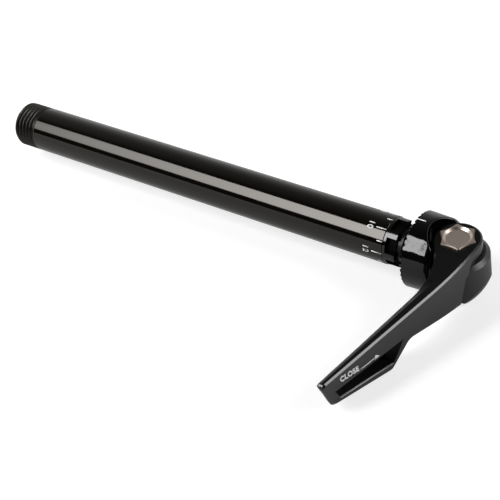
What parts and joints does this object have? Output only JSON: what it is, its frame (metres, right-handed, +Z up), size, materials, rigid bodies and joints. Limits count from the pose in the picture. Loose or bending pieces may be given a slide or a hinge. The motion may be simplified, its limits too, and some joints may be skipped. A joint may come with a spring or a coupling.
{
  "type": "bicycle thru axle",
  "caption": "Hollow black wheel axle with a threaded end, indexed neck and a toothed clamp head that a long cam lever pulls tight.",
  "frame": {"origin": "on the shaft axis at the threaded end", "axes": "+X along the shaft towards the clamp head, +Z up with the axle lying on a level floor, lever towards -Y"},
  "size_m": [0.1805, 0.079, 0.0236],
  "materials": {
    "shaft_black_anodised": "gloss black anodised aluminium",
    "collar_black_anodised": "gloss black anodised aluminium",
    "spindle_steel": "turned steel, dark",
    "screw_black_steel": "black oxide steel",
    "washer_zinc_steel": "zinc plated steel",
    "guide_black_plastic": "moulded black plastic",
    "seal_rubber": "black rubber",
    "housing_black_paint": "gloss black coated aluminium casting",
    "bush_bronze": "sintered bronze",
    "cam_satin_nickel": "satin nickel plated steel",
    "lever_black_anodised": "satin black anodised forged aluminium"
  },
  "bodies": {
    "axle": {"axle_shaft": "shaft_black_anodised", "index_collar": "collar_black_anodised", "draw_spindle": "spindle_steel", "spindle_screw": "screw_black_steel", "spindle_washer": "washer_zinc_steel"},
    "head": {"guide_bush": "guide_black_plastic", "neck_seal": "seal_rubber", "clamp_housing": "housing_black_paint", "upper_cam_bush": "bush_bronze", "lower_cam_bush": "bush_bronze"},
    "lever": {"lever": "lever_black_anodised", "cam_shaft": "cam_satin_nickel", "cam_washer": "washer_zinc_steel", "cam_screw": "screw_black_steel"}
  },
  "joints": [
    {"name": "head_slide", "type": "slide", "parent": "axle", "child": "head", "axis": [1, 0, 0], "range_m": [0, 0.00121]},
    {"name": "lever_swing", "type": "hinge", "parent": "head", "child": "lever", "pos_m": [0.17143, 0, 0], "axis": [0, -0.1358, 0.9907], "range_deg": [0, 150]}
  ],
  "couplings": [
    {"joint": "head_slide", "follows": "lever_swing", "m_per_rad": 0.0004633}
  ]
}
